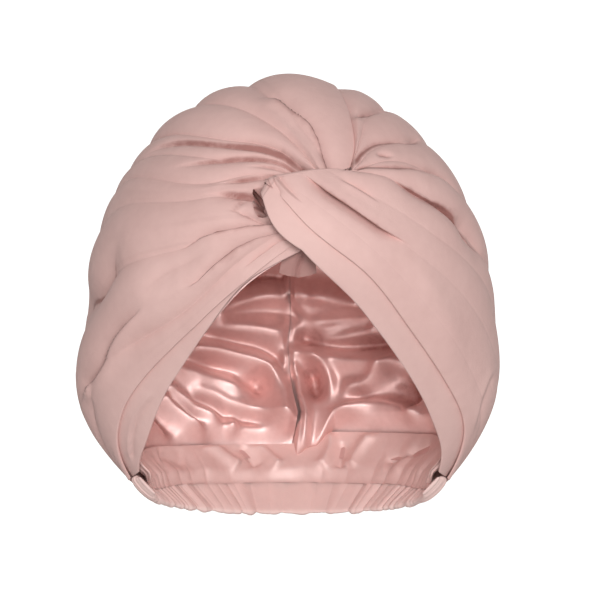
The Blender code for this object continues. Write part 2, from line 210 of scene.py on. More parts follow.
def shift_towards(directions, others, distance):
    """Directions moved over the form towards others by a distance in metres."""
    apart = np.linalg.norm(on_form(others) - on_form(directions), axis=-1)[..., None]
    return unit(directions + (others - directions) * distance / np.maximum(apart, 1e-6))


# %% [markdown]
# ## Pleats
# Each wrap of the outer cloth fans out from the twist to the elastic. A row is one pleat line:
# places across and up as shares of the form, then its turn at the nape, the depths of its crease at
# the twist, the middle, the side and the nape, and how far the cloth stands out up to the next row.

# %% Pleat lines
PLEAT_COLUMNS = ("start_x", "start_z", "near_x", "near_z", "mid_x", "mid_z", "side_x", "side_z",
                 "nape_turn", "at_twist", "at_mid", "at_side", "at_nape", "fold")
COLUMN = {name: place for place, name in enumerate(PLEAT_COLUMNS)}
LINE_COLUMNS = COLUMN["nape_turn"] + 1
CREASE_SHARES = (0, 0.12, 0.45, 0.7, 0.95, 1)
SWELL_SHARES = (0, 0.12, 0.5, 0.85, 1)
SWELLS = (0.4, 0.8, 1.0, 0.9, 0.1)
PINCH = 0.17
LEFT_PLEATS = {
    "band_line": (0.05, 0.34, -0.14, 0.22, -0.41, 0.02, -0.75, -0.38, -101, 0, 0, 0, 0, 0.6),
    "low_crease": (0.04, 0.38, -0.15, 0.30, -0.44, 0.09, -0.86, -0.22, -88, 0.4, 0.4, 2.8, 1, 3.2),
    "cheek_crease": (0.01, 0.42, -0.18, 0.37, -0.48, 0.31, -0.94, 0.14, -72, 0.6, 0.8, 3.4, 1, 2.0),
    "hollow_crease": (-0.01, 0.48, -0.18, 0.52, -0.46, 0.49, -0.87, 0.44, -58, 1.5, 0.3, 1.6, 1, 1.0),
    "over_crease": (0.06, 0.54, -0.12, 0.60, -0.36, 0.56, -0.80, 0.57, -47, 0.6, 0.8, 1.0, 1, 1.0),
    "brow_crease": (0.12, 0.57, -0.01, 0.66, -0.30, 0.66, -0.73, 0.66, -38, 0.5, 1.0, 1.4, 1, 1.0),
    "long_crease": (0.14, 0.58, -0.03, 0.69, -0.32, 0.74, -0.65, 0.75, -29, 0.5, 1.4, 3.6, 1, 3.0),
    "crown_crease": (0.16, 0.58, 0.05, 0.70, -0.14, 0.82, -0.40, 0.89, -19, 0.5, 0.3, 3.0, 1, 2.4),
    "lobe_crease": (0.18, 0.58, 0.11, 0.70, 0.02, 0.80, -0.12, 0.93, -9, 0.5, 1.4, 3.2, 1, 3.6),
    "top_edge": (0.295, 0.63, 0.31, 0.69, 0.29, 0.83, 0.24, 0.94, 0, 0, 0, 0, 0, 0),
}
RIGHT_PLEATS = {
    "band_line": (-0.10, 0.53, 0.08, 0.37, 0.38, 0.18, 0.71, -0.24, 101, 0, 0, 0, 0, 0.4),
    "loop_ridge": (-0.08, 0.55, 0.18, 0.41, 0.47, 0.22, 0.84, -0.22, 89, 0, 0, 0.2, 1, 0.4),
    "loop_crease": (0.02, 0.57, 0.22, 0.46, 0.52, 0.31, 0.94, -0.04, 76, 0, 0.2, 0.3, 1, 0.5),
    "face_ridge": (0.13, 0.585, 0.35, 0.49, 0.64, 0.36, 0.96, 0.13, 62, 0, 0, 0.3, 1, 0.8),
    "main_crease": (0.23, 0.585, 0.44, 0.56, 0.69, 0.48, 0.93, 0.30, 50, 0.4, 1.2, 4.2, 1, 1.8),
    "side_crease": (0.27, 0.58, 0.44, 0.63, 0.65, 0.61, 0.82, 0.53, 38, 0.4, 0.6, 3.4, 1, 0.8),
    "brow_crease": (0.28, 0.58, 0.37, 0.67, 0.49, 0.72, 0.64, 0.74, 25, 0.4, 0.6, 4.4, 1, 0.6),
    "crown_crease": (0.285, 0.575, 0.33, 0.70, 0.37, 0.82, 0.45, 0.88, 12, 0.4, 0.6, 4.4, 1, 1.4),
    "top_edge": (0.29, 0.57, 0.31, 0.68, 0.29, 0.83, 0.24, 0.94, 0, 0, 0, 0, 0, 0),
}
LEFT_FREE_EDGE = (0.06, 0.31, -0.22, 0.16, -0.52, -0.22, -0.66, -0.53, -112)
RIGHT_FREE_EDGE = (-0.12, 0.50, 0.04, 0.31, 0.36, 0.05, 0.66, -0.43, 112)
RAY_SAMPLES = 160


def ray(row):
    """One pleat line from the twist to the nape, as directions and distances in metres."""
    start, near, middle, side = (front_direction(row[COLUMN[f"{name}_x"]], row[COLUMN[f"{name}_z"]])
                                 for name in ("start", "near", "mid", "side"))
    end = nape_direction(row[COLUMN["nape_turn"]], above_casing)
    bend = 0.5 * (1 - side @ end)
    behind = unit(side + end + np.array([0, 1.6 * bend, 0.1 * bend]))
    line = through(np.array([start, near, middle, side, behind, end]), RAY_SAMPLES)
    lengths = np.linalg.norm(np.diff(on_form(line), axis=0), axis=1)
    return line, np.concatenate([[0], np.cumsum(lengths)])


def along_line(line, along, distances):
    """Directions at these distances in metres along a line whose points lie at the distances along."""
    found = np.stack([np.interp(distances, along, line[:, axis]) for axis in range(3)], axis=-1)
    return unit(found)


def crease_depth(row, shares):
    """How deep a pleat line's crease is at these shares of the way from the twist to the nape."""
    twist, middle, side, nape = (row[COLUMN[f"at_{name}"]] for name in ("twist", "mid", "side", "nape"))
    return np.interp(shares, CREASE_SHARES, (twist, middle, side, 0.6 * side, nape, 0.2 * nape))


def pleat_height(rows, pleat, across, shares):
    """How far the cloth stands off the form across a pleat: pinched at its creases, full between."""
    before, after = rows[pleat], rows[pleat + 1]
    swell = np.interp(shares, SWELL_SHARES, SWELLS)
    fold = before[COLUMN["fold"]] * math.sin(math.pi * across) * swell
    return MILLIMETRE * (fold - crease_depth(before, shares) * math.exp(-across / PINCH)
                         - crease_depth(after, shares) * math.exp(-(1 - across) / PINCH))


# %% [markdown]
# ## Folds placed one by one
# The folds that a viewer knows the bonnet by are placed where the camera sees them. Each is a line
# through a few places in the picture, with how far the cloth stands up on its left hand and on its
# right hand, walking along it. Cloth that is higher on one hand than the other lies over itself
# there, and its upper lip leans a little over the lower side. A stand-up fold is rounded, and a sunk
# one is a crease. Each fold also gives a crease value from 0 to 1, which the materials read as
# shade to paint into the crease.

# %% Fold lines
FOLD_COLUMNS = ("left", "right", "left_reach", "right_reach", "edge", "fade_in", "fade_out", "places")
LINE_SAMPLES = 70
DEEP_CREASE = 4.0
CREASE_WIDTH = 1.1
OVERHANG = 0.30
OVERHANG_LIMIT = 1.6
OVERHANG_REACH = 2.2
REACHES_KEPT = 3.5
REACH_ROOM = 0.004


def seen_direction(across, down, behind):
    """The direction on the form that the camera sees at a place in the picture."""
    y = 0.0
    for _ in range(6):
        pixel = PIXEL * (y - CAMERA_PLACE[1]) / -CAMERA_PLACE[1]
        x = CAMERA_PLACE[0] + (across - PICTURE_MIDDLE) * pixel
        z = CAMERA_PLACE[2] + (PICTURE_MIDDLE - down) * pixel
        up = z - BASE - MIDDLE_HEIGHT
        up = up / (CROWN_RISE if up > 0 else SKIRT_DROP)
        direction = front_direction(x / (HALF_WIDTH * skirt_width(up)), up)
        if behind:
            direction[1] = -direction[1]
        y = on_form(direction)[1]
    return direction


def fold_profile(off, fold):
    """Height, overhang and painted crease shade at signed distances from a fold line, positive on its
    left.
    """
    edge = fold["edge"]
    away = np.sqrt(off**2 + edge**2) - edge
    sides = []
    for hand in ("left", "right"):
        height, reach = fold[hand], fold[f"{hand}_reach"]
        rounded = np.exp(-((off / reach) ** 2))
        creased = np.exp(-away / reach)
        sides.append(height * (rounded if height > 0 else creased))
    left_share = smooth(0.5 + 0.5 * off / edge)
    step = fold["left"] - fold["right"]
    most = np.clip(OVERHANG * step, -OVERHANG_LIMIT, OVERHANG_LIMIT)
    lean = most * (1 - 2 * left_share) * np.exp(-((off / OVERHANG_REACH) ** 2))
    # The crease value: how much shade to paint here, more for a deeper crease.
    sunk = min(1.0, max(0.0, -fold["left"], -fold["right"]) / DEEP_CREASE)
    crease = sunk * np.exp(-np.abs(off) / CREASE_WIDTH)
    return sides[1] + (sides[0] - sides[1]) * left_share, lean, crease


def beside_path(points, facing, path):
    """Where points lie by a path: their place on it, who is past its ends, how far off, left hand."""
    runs = unit(np.gradient(path, axis=0))
    gaps = np.linalg.norm(points[:, None] - path[None], axis=2)
    nearest = gaps.argmin(axis=1)
    offset = points - path[nearest]
    along = (offset * runs[nearest]).sum(axis=1)
    spacing = np.linalg.norm(path[1] - path[0])
    place = nearest + along / spacing
    beyond = (place < 0) | (place > LINE_SAMPLES - 1)
    square = (offset**2).sum(axis=1)
    off = np.sqrt(np.maximum(np.where(beyond, square, square - along**2), 0))
    left_hand = np.cross(facing, runs[nearest])
    off *= np.where((offset * left_hand).sum(axis=1) < 0, -1, 1)
    return place, beyond, off, left_hand


def fold_strength(share, fold):
    """How much of a fold there is at these shares of its length, as it fades in and out."""
    strength = np.ones_like(share)
    if fold["fade_in"]:
        strength *= smooth(share / fold["fade_in"])
    if fold["fade_out"]:
        strength *= smooth((1 - share) / fold["fade_out"])
    return strength


def fold_moves(directions, table, behind=False):
    """How a table's fold lines lift the cloth and move it sideways, in metres, and paint shade in
    creases.
    """
    points = on_form(directions).reshape(-1, 3)
    facing = outward(directions).reshape(-1, 3) * (-1 if behind else 1)
    heights, creases, slides = np.zeros(len(points)), np.zeros(len(points)), np.zeros((len(points), 3))
    for row in table.values():
        fold = dict(zip(FOLD_COLUMNS, row))
        places = np.array([seen_direction(*place, behind) for place in fold["places"]])
        path = on_form(through(places, LINE_SAMPLES))
        widest = max(fold["left_reach"], fold["right_reach"])
        reach = REACHES_KEPT * MILLIMETRE * widest + REACH_ROOM
        low, high = path.min(axis=0) - reach, path.max(axis=0) + reach
        near = np.flatnonzero(((points > low) & (points < high)).all(axis=1))
        if not len(near):
            continue
        place, beyond, off, left_hand = beside_path(points[near], facing[near], path)
        strength = fold_strength(np.clip(place / (LINE_SAMPLES - 1), 0, 1), fold)
        height, lean, crease = fold_profile(off / MILLIMETRE, fold)
        creases[near] = np.maximum(creases[near], strength * crease)
        heights[near] += strength * height
        slides[near] += (strength * np.where(beyond, 0, lean))[:, None] * left_hand
    shape = directions.shape[:-1]
    slides = slides.reshape(*shape, 3)
    return MILLIMETRE * heights.reshape(shape), MILLIMETRE * slides, creases.reshape(shape)


# %% [markdown]
# ## Cloth meshes
# A grid of points becomes one sheet of faces. Its map runs in metres along and across the cloth, so
# that a weave keeps its size.

# %% Cloth meshes
def cloth(name, points, material, node, turned=False, creases=None):
    """A sheet of cloth through a grid of points, which stands for a node of the part."""
    columns, rows = points.shape[:2]
    index = np.arange(columns * rows).reshape(columns, rows)
    corners = [index[:-1, :-1], index[1:, :-1], index[1:, 1:], index[:-1, 1:]]
    if turned:
        corners.reverse()
    faces = np.stack(corners, axis=-1).reshape(-1, 4)
    mesh = bpy.data.meshes.new(name)
    mesh.from_pydata(points.reshape(-1, 3), [], faces)
    across = np.linalg.norm(np.diff(points, axis=0, prepend=points[:1]), axis=2).cumsum(axis=0)
    along = np.linalg.norm(np.diff(points, axis=1, prepend=points[:, :1]), axis=2).cumsum(axis=1)
    places = np.stack([across.mean(axis=1)[:, None].repeat(rows, axis=1), along], axis=-1)
    layer = mesh.uv_layers.new(name="cloth")
    layer.data.foreach_set("uv", places.reshape(-1, 2)[faces.ravel()].ravel())
    # The crease value, which the materials turn into painted shade.
    if creases is not None:
        stored = mesh.attributes.new("crease", "FLOAT", "POINT")
        stored.data.foreach_set("value", creases.ravel())
    mesh.shade_smooth()
    mesh.materials.append(material)
    sheet = bpy.data.objects.new(name, mesh)
    bpy.context.scene.collection.objects.link(sheet)
    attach(sheet, "root")
    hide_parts(node)
    return sheet


HEM_INSET = 6


def with_hem(directions, lifts, radius, depth):
    """The same cloth with its first column rolled under and turned back inside."""
    edge, inner = directions[0], directions[HEM_INSET]
    apart = np.linalg.norm(on_form(inner) - on_form(edge), axis=-1)[..., None]
    room = np.minimum(depth, 0.8 * apart)
    radius = np.minimum(radius, 0.4 * apart[..., 0])
    columns = []
    for turn in np.linspace(0, math.pi, 8)[1:]:
        moved = shift_towards(edge, 2 * edge - inner, radius[..., None] * math.sin(turn))
        columns.append((moved, lifts[0] - radius * (1 - math.cos(turn))))
    for share in (0.35, 0.7, 1.0):
        columns.append((shift_towards(edge, inner, room * share), lifts[0] - 2 * radius))
    columns.reverse()
    turned = np.array([column[0] for column in columns])
    lowered = np.array([column[1] for column in columns])
    return np.concatenate([turned, directions]), np.concatenate([lowered, lifts])


# %% [markdown]
# ## Materials
# The outer cloth is a soft matte knit, and the lining is a satin. Both get their weave, a little
# unevenness of colour and their sheen from nodes alone. Shade is painted into their colour down in
# a crease: the colour darkens with the crease value that each mesh holds.

# %% Materials
class Maths:
    """A node's output that can be added to and multiplied, so that shader maths reads as sums."""

    def __init__(self, tree, socket):
        self.tree, self.socket = tree, socket

    def step(self, operation, other=None):
        node = self.tree.nodes.new("ShaderNodeMath")
        node.operation = operation
        self.tree.links.new(self.socket, node.inputs[0])
        if isinstance(other, Maths):
            self.tree.links.new(other.socket, node.inputs[1])
        elif other is not None:
            node.inputs[1].default_value = other
        return Maths(self.tree, node.outputs[0])

    def __add__(self, other):
        return self.step("ADD", other)

    def __mul__(self, other):
        return self.step("MULTIPLY", other)

    def sine(self):
        return self.step("SINE")


def start_material(name, settings):
    """A new material's tree and shader, with the values that are the same all over it."""
    material = bpy.data.materials.new(name)
    material.use_nodes = True
    tree = material.node_tree
    shader = tree.nodes["Principled BSDF"]
    for socket, value in settings.items():
        shader.inputs[socket].default_value = value
    return material, tree, shader


def place_on(tree, kind):
    return tree.nodes.new("ShaderNodeTexCoord").outputs[kind]


def noise(tree, size, detail=2.0):
    """Soft patches of about this size in metres, from 0 to 1."""
    node = tree.nodes.new("ShaderNodeTexNoise")
    node.inputs["Scale"].default_value = 1 / size
    node.inputs["Detail"].default_value = detail
    tree.links.new(place_on(tree, "Object"), node.inputs["Vector"])
    return Maths(tree, node.outputs["Fac"])


def crease_shading(tree):
    """Painted crease shade: how deep in a crease the cloth is, 0 to 1, as its mesh holds it."""
    node = tree.nodes.new("ShaderNodeAttribute")
    node.attribute_name = "crease"
    return Maths(tree, node.outputs["Fac"])


def threads(tree, across, along):
    """The height of a weave whose threads are this far apart in metres, from the cloth's own map."""
    split = tree.nodes.new("ShaderNodeSeparateXYZ")
    tree.links.new(place_on(tree, "UV"), split.inputs[0])
    wales = (Maths(tree, split.outputs["X"]) * (2 * math.pi / across)).sine()
    courses = (Maths(tree, split.outputs["Y"]) * (2 * math.pi / along)).sine()
    return wales + courses * 0.6


def colours(tree, factor, stops):
    """A colour that runs through these stops as the factor goes from 0 to 1."""
    ramp = tree.nodes.new("ShaderNodeValToRGB")
    elements = ramp.color_ramp.elements
    while len(elements) < len(stops):
        elements.new(0.5)
    for element, (place, colour) in zip(elements, stops):
        element.position = place
        element.color = (*colour, 1)
    tree.links.new(factor.socket, ramp.inputs["Fac"])
    return ramp.outputs["Color"]


def bump(tree, shader, layers):
    """Stacks bumps, each given as a height and how deep it is in metres."""
    before = None
    for height, depth in layers:
        node = tree.nodes.new("ShaderNodeBump")
        node.inputs["Distance"].default_value = depth
        tree.links.new(height.socket, node.inputs["Height"])
        if before:
            tree.links.new(before, node.inputs["Normal"])
        before = node.outputs["Normal"]
    tree.links.new(before, shader.inputs["Normal"])


# Painted crease shade: the colours that the ramps reach at the bottom of a crease.
KNIT_CREASE_SHADE = (0.38, 0.18, 0.16)
SATIN_CREASE_SHADE = (0.42, 0.17, 0.15)
SHADE_STOP = 0.32
LIGHT_STOP = 0.70


def knit_material(name, light, shade):
    """Matte brushed knit: fine wales, a faint fuzz, a colour not quite even, painted shade in creases.
    """
    material, tree, shader = start_material(name, {
        "Sheen Weight": 0.10, "Sheen Roughness": 0.45, "Sheen Tint": (1.0, 0.86, 0.82, 1),
        "Specular IOR Level": 0.25})
    # Patches of uneven colour, and shade painted in along the creases.
    patches = noise(tree, 0.050) * 0.7 + noise(tree, 0.006) * 0.3 + crease_shading(tree) * -0.70
    stops = ((0.0, KNIT_CREASE_SHADE), (SHADE_STOP, shade), (LIGHT_STOP, light))
    tree.links.new(colours(tree, patches, stops), shader.inputs["Base Color"])
    dull = noise(tree, 0.020) * 0.12 + 0.74
    tree.links.new(dull.socket, shader.inputs["Roughness"])
    bump(tree, shader, [(noise(tree, 0.009, 3.0), 0.00035), (noise(tree, 0.0009, 3.0), 0.00005),
                        (threads(tree, 0.0006, 0.0008), 0.00002)])
    return material


def satin_material(name, light, shade, metallic, smoothest):
    """Glossy satin: long floats of thread, a broad gloss, small ripples and painted shade in creases.
    """
    material, tree, shader = start_material(name, {
        "Metallic": metallic, "Specular IOR Level": 0.8, "Sheen Weight": 0.10,
        "Coat Weight": 0.30, "Coat Roughness": 0.38,
        "Sheen Roughness": 0.30, "Sheen Tint": (1.0, 0.85, 0.80, 1)})
    # Patches of uneven colour, and shade painted in along the creases.
    patches = noise(tree, 0.030) * 0.6 + noise(tree, 0.004) * 0.4 + crease_shading(tree) * -0.6
    stops = ((0.0, SATIN_CREASE_SHADE), (SHADE_STOP, shade), (LIGHT_STOP, light))
    tree.links.new(colours(tree, patches, stops), shader.inputs["Base Color"])
    gloss = noise(tree, 0.012) * 0.10 + smoothest
    tree.links.new(gloss.socket, shader.inputs["Roughness"])
    bump(tree, shader, [(noise(tree, 0.020, 1.0), 0.00020), (noise(tree, 0.0035, 2.0), 0.00001),
                        (threads(tree, 0.0004, 0.0009), 0.00001)])
    return material


KNIT = knit_material("dusty_pink_knit", (0.80, 0.53, 0.49), (0.72, 0.46, 0.425))
BAND_KNIT = knit_material("band_knit", (0.79, 0.525, 0.485), (0.73, 0.47, 0.435))
# Painted light: the casing's knit is a lighter copy of the wraps' knit.
SHIRRED_KNIT_LIGHTENED = knit_material("shirred_knit_lightened", (0.93, 0.68, 0.63), (0.86, 0.60, 0.56))
# Painted shade: the tuck's knit is a darker copy of the wraps' knit, for the shadow behind the bands.
TUCK_SHADED_KNIT = knit_material("tuck_knit_shaded", (0.50, 0.28, 0.25), (0.42, 0.22, 0.20))
SATIN = satin_material("rose_satin", (0.84, 0.58, 0.55), (0.74, 0.47, 0.44), 0.62, 0.44)
NAPE_SATIN = satin_material("nape_satin", (0.84, 0.58, 0.54), (0.76, 0.50, 0.46), 0.12, 0.50)


# %% [markdown]
# ## The two wraps
# Each wrap keeps the part's pleats as broad lobes, and the fold lines below sharpen them where the
# photograph's light shows them. The right wrap rolls over at the twist, and the left one dips
# beneath it.

# %% Fold lines of the wraps
LEFT_WRAP_FOLDS = {
    "long_crease": (-2.8, -1.3, 5.5, 2.6, 0.4, 0, 0.30,
                    ((319, 171), (300, 160), (285, 151), (267, 145.5), (232, 142), (200, 139.8),
                     (178, 140), (158, 146), (140, 158))),
    "brow_crease": (-2.4, -1.1, 4.0, 2.2, 0.4, 0, 0.40,
                    ((314, 172), (300, 163), (286, 156), (262, 152.5), (238, 153.5), (214, 157),
                     (188, 163), (165, 170))),
    "fine_crease": (-1.6, -0.8, 2.0, 1.6, 0.4, 0, 0.50,
                    ((309, 173), (296, 166), (280, 161.5), (262, 161), (240, 164))),
    "over_crease": (-2.2, -1.0, 3.0, 2.0, 0.4, 0, 0.40,
                    ((300, 174), (288, 170.5), (272, 169.5), (258, 172), (245, 175), (228, 179),
                     (211, 183))),
    "strand_edge": (-3.2, -0.8, 5.0, 2.4, 0.4, 0, 0.45,
                    ((300, 173), (288, 176.5), (271, 181), (263, 186), (256, 190), (240, 190.8),
                     (220, 190.5), (200, 193))),
    "hole": (-12.0, 0.6, 5.5, 3.0, 0.5, 0.12, 0.12,
             ((258, 183), (256.5, 190), (256, 198), (258.5, 206), (263, 213))),
    "pocket_side": (-1.5, -0.9, 2.0, 2.0, 0.5, 0.2, 0.1,
                    ((241, 193), (235, 201), (232, 210))),
    "pocket_base": (-1.2, -2.0, 2.5, 2.5, 0.5, 0.1, 0.2,
                    ((268, 219.5), (256, 217), (245, 213), (233, 209))),
    "cheek_crease": (1.8, -3.6, 4.5, 3.5, 0.5, 0, 0.40,
                     ((277, 224), (264, 225), (252, 226.5), (240, 229), (226, 232), (213, 235.5),
                      (200, 239), (188, 243.5), (177, 249))),
    "low_crease": (1.4, -3.4, 4.0, 4.0, 0.5, 0, 0.45,
                   ((283, 231.5), (270, 236), (256, 241), (246, 246), (236, 252), (226, 260),
                    (213, 270), (200, 280), (182, 291))),
    "hem_crease": (1.0, -2.0, 2.0, 3.0, 0.4, 0.1, 0.50,
                   ((287, 237), (276, 244), (266, 252), (255, 259), (242, 267))),
    "soft_fold": (-1.6, -1.6, 7.0, 7.0, 2.5, 0.4, 0.40,
                  ((215, 246), (189, 262), (163, 275), (140, 300))),
    "cheek_valley": (-4.5, -4.5, 9.0, 10.0, 4.0, 0.5, 0,
                     ((130, 226), (113, 252), (100, 280), (84, 307))),
    "low_cheek": (2.4, -4.0, 8.0, 7.0, 1.2, 0.5, 0,
                  ((150, 302), (126, 328), (112, 351), (103, 372), (90, 388))),
    "lobe_crease": (3.0, -3.8, 6.0, 7.0, 0.6, 0, 0.25,
                    ((326, 172), (321, 158), (314, 141), (305, 127), (292, 116), (276, 104),
                     (262, 95))),
    "lobe_slit": (-2.5, -4.5, 1.6, 2.4, 0.4, 0, 0.50,
                  ((325.5, 171), (320, 157), (314, 142))),
}
RIGHT_WRAP_FOLDS = {
    "crown_crease": (-2.8, -1.2, 5.0, 3.0, 0.5, 0.15, 0.30,
                     ((353, 119), (362, 115), (378, 110), (391, 111))),
    "brow_crease": (-2.4, -1.0, 4.5, 3.0, 0.5, 0.10, 0.20,
                    ((355, 168), (360, 156), (370, 147.5), (390, 142.5), (410, 143), (422, 139))),
    "short_crease": (-1.8, -1.2, 1.6, 1.6, 0.4, 0.30, 0.40,
                     ((373, 157), (382, 158), (392, 160.5))),
    "side_crease": (-2.6, -1.0, 3.5, 2.6, 0.5, 0, 0.20,
                    ((353, 173), (362, 170.5), (375, 171), (392, 171.5), (408, 171), (424, 172.5),
                     (442, 177), (454, 188), (465, 202))),
    "main_crease": (-0.6, -3.6, 3.0, 6.0, 0.5, 0.25, 0.40,
                    ((380, 179), (394, 185.5), (408, 191), (420, 197), (436, 203), (448, 210),
                     (458, 220), (468, 234), (480, 252))),
    "side_valley": (-2.6, -2.6, 5.0, 8.0, 3.0, 0.35, 0.45,
                    ((452, 214), (464, 227), (475, 243), (486, 262))),
    "loop_crease": (0.8, -3.4, 5.0, 3.6, 0.4, 0.25, 0.35,
                    ((301, 181), (317, 191.5), (330, 200), (346, 210), (362, 220), (378, 230),
                     (392, 238), (407, 247))),
    "face_crease": (-1.2, 0.8, 3.0, 4.0, 0.6, 0.30, 0.40,
                    ((334, 185), (345, 190), (358, 197), (375, 208))),
    "tip_crease": (-1.6, 0.8, 2.0, 2.5, 0.5, 0.10, 0.40,
                   ((268.5, 184), (271, 190), (275, 197), (282, 206))),
    "tip_fold": (-1.2, 0.6, 2.0, 2.5, 0.5, 0.10, 0.50,
                 ((276, 181.5), (281, 190), (290, 200), (303, 211))),
    "broad_ridge": (1.5, 1.5, 10.0, 10.0, 4.0, 0.40, 0.40,
                    ((395, 252), (425, 290), (450, 335), (466, 380))),
    "outer_lobe": (-1.2, 0.5, 7.0, 7.0, 2.5, 0.35, 0.35,
                   ((497, 368), (489, 383), (484, 398), (479, 416), (470, 441))),
}

# %% The wraps
WRAP_FULLNESS = 1.6
COLUMNS_PER_PLEAT = 46
RAY_STATIONS = 175
STATION_CROWDING = 1.25
ROLL = 0.0048
LEAST_ROLL = 0.0002
ROLL_TAIL = 0.009
HEM_RADIUS = 0.0009
HEM_DEPTH = 0.007
HEM_START = 0.060


def twist_lift(side, across, distance):
    """How the two wraps pass at the twist: the right one rides over, the left one dips beneath."""
    towards_top = across**2
    sink = -TWIST_SINK * (1 - 0.6 * towards_top) * np.exp(-distance / (0.28 * HALF_WIDTH))
    if side == "left":
        return sink
    over = TWIST_RISE * np.exp(-((distance / (0.61 * HALF_WIDTH)) ** 2))
    near_twist = np.exp(-distance / (0.41 * HALF_WIDTH))
    below_edge = OUTER_CLOTH + 1.5 * LAYER_GAP + 1.5 * OUTER_CLOTH * near_twist
    beneath = below_edge * smooth((across - 0.94) / 0.06)
    return over * (1 - towards_top) + sink * towards_top - beneath


def roll_places(radius):
    """Distances and drops of the edge that rolls under where a wrap starts, tail first."""
    tail = [(radius + ROLL_TAIL * share, 2 * radius) for share in (1, 0.66, 0.33)]
    turns = np.radians(np.linspace(270, 90, 13))
    curl = [(radius + radius * math.cos(turn), radius - radius * math.sin(turn)) for turn in turns]
    return np.array(tail + curl)


def stations_along(radius, length):
    """Distances along a wrap's line, and how far the roll where it starts drops the cloth there."""
    rolled = roll_places(radius) if radius else np.empty((0, 2))
    stations = np.linspace(0, 1, RAY_STATIONS) ** STATION_CROWDING
    distances = np.concatenate([rolled[:, 0], radius + stations * (length - radius)])
    drops = np.concatenate([rolled[:, 1], np.zeros(RAY_STATIONS)])
    return distances, drops


def nape_gathers(column, distances, length):
    """Small gathers where the cloth runs into the elastic."""
    near_end = np.exp(-(length - distances) / 0.016)
    wave = math.sin(column * 1.9) + 0.6 * math.sin(column * 0.83 + 1.0)
    return 0.7 * MILLIMETRE * wave * near_end


def wrap_grid(side, pleats):
    """A wrap as directions and lifts, a column for each line along the cloth."""
    rows = np.array(list(pleats.values()), float)
    count = len(rows) - 1
    places = np.linspace(0, count, count * COLUMNS_PER_PLEAT + 1)
    lines = smooth_curve(np.arange(count + 1.0), rows, places)
    directions, lifts = [], []
    for column, place in enumerate(places):
        across = place / count
        line, along = ray(lines[column])
        radius = ROLL * (1 - across**2) + LEAST_ROLL if side == "right" else 0.0
        distances, drops = stations_along(radius, along[-1])
        pleat = min(int(place), count - 1)
        directions.append(along_line(line, along, distances))
        lifts.append(pleat_height(rows, pleat, place - pleat, distances / along[-1])
                     + twist_lift(side, across, distances) - drops
                     + nape_gathers(column * 6.0 / COLUMNS_PER_PLEAT, distances, along[-1]))
    return np.array(directions), np.array(lifts)


def make_wrap(side, pleats, folds):
    directions, lifts = wrap_grid(side, pleats)
    from_twist = np.linalg.norm(on_form(directions[0]) - on_form(directions[0, :1]), axis=-1)
    radius = HEM_RADIUS * (0.1 + 0.9 * smooth(from_twist / HEM_START))
    directions, lifts = with_hem(directions, lifts, radius, HEM_DEPTH)
    if side == "left":
        directions, lifts = with_hem(directions[::-1], lifts[::-1], HEM_RADIUS, HEM_DEPTH)
        directions, lifts = directions[::-1], lifts[::-1]
    else:
        past_edge = 2 * directions[-1] - directions[-6]
        for step in (1.0, 2.0, 3.0):
            tucked = shift_towards(directions[-1], past_edge, step * OUTER_CLOTH)
            directions = np.concatenate([directions, [tucked]])
            lifts = np.concatenate([lifts, lifts[-1:] - 0.1 * MILLIMETRE])
    heights, slides, creases = fold_moves(directions, folds)
    points = on_form(directions, lifts + WRAP_FULLNESS * heights) + WRAP_FULLNESS * slides
    return cloth(f"{side}_wrap_cloth", points, KNIT, f"{side}_wrap", side == "left",
                 creases)


left_wrap = make_wrap("left", LEFT_PLEATS, LEFT_WRAP_FOLDS)
right_wrap = make_wrap("right", RIGHT_PLEATS, RIGHT_WRAP_FOLDS)


# %% [markdown]
# ## The bands
# A folded band frames the face on each side, set in under the edge of its wrap.

# %% The bands
BAND_COLUMNS = 24
BAND_HEM_RADIUS = 0.0008
BAND_HEM_DEPTH = 0.006
TIP_BULGE = 0.0046
TIP_REACH = 0.044
FLUSH_START = 0.0014
FLUSH_REACH = 0.035
LEFT_BAND_FOLDS = {
    "inner_fold": (-1.4, 0.6, 3.0, 3.0, 0.6, 0.30, 0,
                   ((158, 388), (148, 400), (139, 411), (131, 424), (128, 438), (128, 456))),
}
RIGHT_BAND_FOLDS = {
    "soft_line": (-0.3, -0.3, 4.0, 4.0, 1.5, 0.30, 0.30,
                  ((350, 280), (390, 322), (425, 378), (446, 430))),
}


def make_band(side, pleats, free_edge, folds):
    """A band from its wrap's edge to the face. The right one starts as the rolled tip of the loop."""
    band_row = np.array(list(pleats.values())[0], float)
    edge_row = np.array(free_edge, float)
    length, edge_length = ray(band_row)[1][-1], ray(edge_row)[1][-1]
    radius = ROLL if side == "right" else 0.0
    distances, drops = stations_along(radius, length)
    line = along_line(*ray(band_row), distances)
    edge = along_line(*ray(edge_row), distances * edge_length / length)
    if side == "right":
        bulge = TIP_BULGE * np.sin(math.pi * np.clip(distances / TIP_REACH, 0, 1))[:, None]
        edge = shift_towards(edge, 2 * edge - line, bulge)
    outermost = shift_towards(line, 2 * line - edge, 2.5 * OUTER_CLOTH)
    across = np.linspace(1, 0, BAND_COLUMNS)[:, None, None]
    directions = unit(outermost + (edge - outermost) * across)
    lifts = twist_lift(side, 0, distances) + BAND_LIFT - drops
    lifts = lifts + FLUSH_START * np.exp(-((distances / FLUSH_REACH) ** 2))
    lifts = lifts - 0.3 * OUTER_CLOTH * across[..., 0] ** 3
    directions, lifts = with_hem(directions, lifts, BAND_HEM_RADIUS, BAND_HEM_DEPTH)
    heights, slides, creases = fold_moves(directions, folds)
    points = on_form(directions, lifts + heights) + slides
    return cloth(f"{side}_band_cloth", points, BAND_KNIT, f"{side}_edge_band",
                 side == "right", creases)


